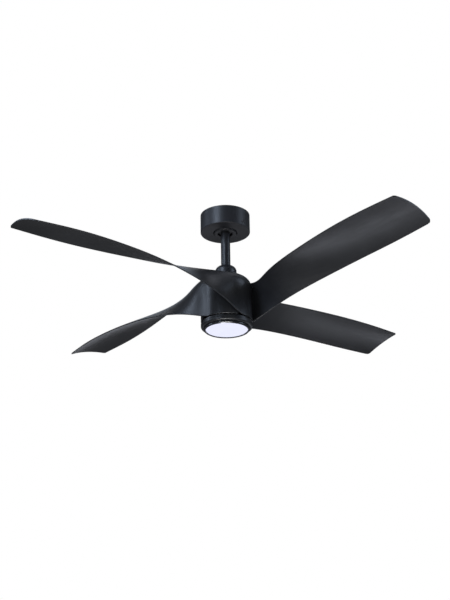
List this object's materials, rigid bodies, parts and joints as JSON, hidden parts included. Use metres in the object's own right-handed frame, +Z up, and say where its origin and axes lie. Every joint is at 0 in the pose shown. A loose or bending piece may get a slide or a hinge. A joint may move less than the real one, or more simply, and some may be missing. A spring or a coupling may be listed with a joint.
{
  "type": "ceiling fan with light",
  "caption": "Ceiling fan with twisted propeller blades growing out of a domed hub, on a short downrod below a deep round canopy, with a flush LED light below the hub.",
  "frame": {"origin": "centre of the ceiling bracket's flat face against the ceiling", "axes": "+Z up along the downrod, +X along the line of the two ceiling slots, -Y towards the viewer"},
  "size_m": [1.036, 1.036, 0.345],
  "materials": {
    "galvanised_steel": "zinc plated",
    "black_box_plastic": "fine moulded texture",
    "natural_plastic": "natural nylon",
    "black_painted_metal": "satin black powder coat",
    "black_screws": "black oxide",
    "ball_plastic": "moulded nylon",
    "wire_insulation": "PVC insulation",
    "cast_metal": "as cast",
    "black_moulded_plastic": "satin black",
    "machined_steel": "turned",
    "lamination_steel": "stacked laminations",
    "copper_winding": "enamelled copper",
    "magnet": "sintered ferrite",
    "black_blade_plastic": "satin black, fine grain",
    "black_light_metal": "satin black",
    "bare_aluminium": "rolled",
    "white_board": "white solder mask",
    "led_emitter": "phosphor window",
    "black_gloss_trim": "semi gloss black",
    "opal_diffuser": "opal acrylic, lit"
  },
  "bodies": {
    "ceiling_mount": {"ceiling_bracket": "black_painted_metal", "receiver_box": "black_box_plastic", "terminal_block": "natural_plastic"},
    "canopy": {"canopy": "black_painted_metal", "canopy_screws": "black_screws"},
    "hanger": {"hanger_ball": "ball_plastic", "ball_pin": "galvanised_steel", "ball_set_screw": "galvanised_steel", "downrod": "black_painted_metal", "lead_wires": "wire_insulation", "motor_coupling": "cast_metal", "coupling_pin": "galvanised_steel", "pin_clip": "galvanised_steel", "coupling_set_screws": "galvanised_steel", "motor_shaft": "machined_steel", "stator_core": "lamination_steel", "stator_windings": "copper_winding", "light_bracket": "galvanised_steel", "shaft_nut": "machined_steel", "light_housing": "black_light_metal", "housing_screws": "galvanised_steel", "led_driver": "black_box_plastic", "heat_spreader": "bare_aluminium", "led_board": "white_board", "board_screws": "galvanised_steel", "leds": "led_emitter", "bezel": "black_gloss_trim"},
    "coupling_cover": {"coupling_cover": "black_moulded_plastic"},
    "rotor": {"upper_bearing": "machined_steel", "lower_bearing": "machined_steel", "rotor_top": "cast_metal", "rotor_bottom": "cast_metal", "rotor_screws": "galvanised_steel", "magnet_ring": "magnet", "blade_1": "black_blade_plastic", "blade_2": "black_blade_plastic", "blade_3": "black_blade_plastic", "blade_4": "black_blade_plastic", "blade_screws": "galvanised_steel", "hub_cap": "black_blade_plastic", "hub_cap_screws": "galvanised_steel"},
    "diffuser": {"diffuser": "opal_diffuser"}
  },
  "joints": [
    {"name": "canopy_slide", "type": "slide", "parent": "ceiling_mount", "child": "canopy", "axis": [0, 0, -1], "range_m": [0, 0.045]},
    {"name": "ball_tilt", "type": "hinge", "parent": "ceiling_mount", "child": "hanger", "pos_m": [0, 0, -0.03], "axis": [1, 0, 0], "range_deg": [-10, 10]},
    {"name": "cover_slide", "type": "slide", "parent": "hanger", "child": "coupling_cover", "axis": [0, 0, 1], "range_m": [0, 0.03]},
    {"name": "rotor_spin", "type": "hinge", "parent": "hanger", "child": "rotor", "pos_m": [0, 0, -0.252], "axis": [0, 0, 1], "continuous": true},
    {"name": "diffuser_twist", "type": "hinge", "parent": "hanger", "child": "diffuser", "pos_m": [0, 0, -0.3432], "axis": [0, 0, 1], "range_deg": [0, 20]}
  ]
}
